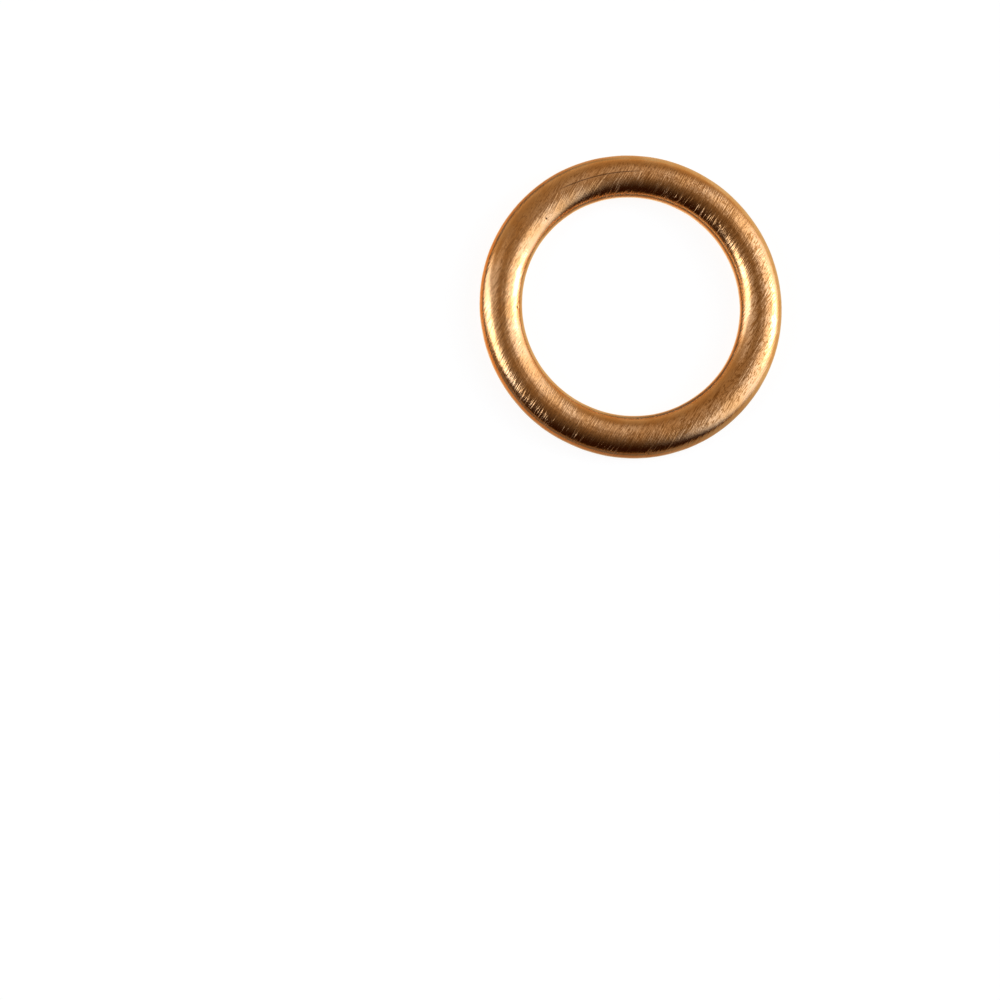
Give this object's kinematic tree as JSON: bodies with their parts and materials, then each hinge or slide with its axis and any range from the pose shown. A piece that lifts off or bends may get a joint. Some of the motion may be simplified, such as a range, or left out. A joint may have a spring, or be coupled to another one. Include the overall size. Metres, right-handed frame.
{
  "type": "copper crush washer",
  "caption": "Hollow ring rolled from soft copper sheet, with its seam underneath. It crushes to seal a threaded plug against its seat.",
  "frame": {"origin": "centre of the ring, on the plane that its seam side rests on", "axes": "+Z along the ring's axis, from the seam side up to the plain crown; X and Y lie in the ring's plane and are alike"},
  "size_m": [0.0198, 0.0198, 0.002],
  "materials": {
    "copper": "satin"
  },
  "bodies": {
    "root": {"crush_washer": "copper"}
  },
  "joints": []
}
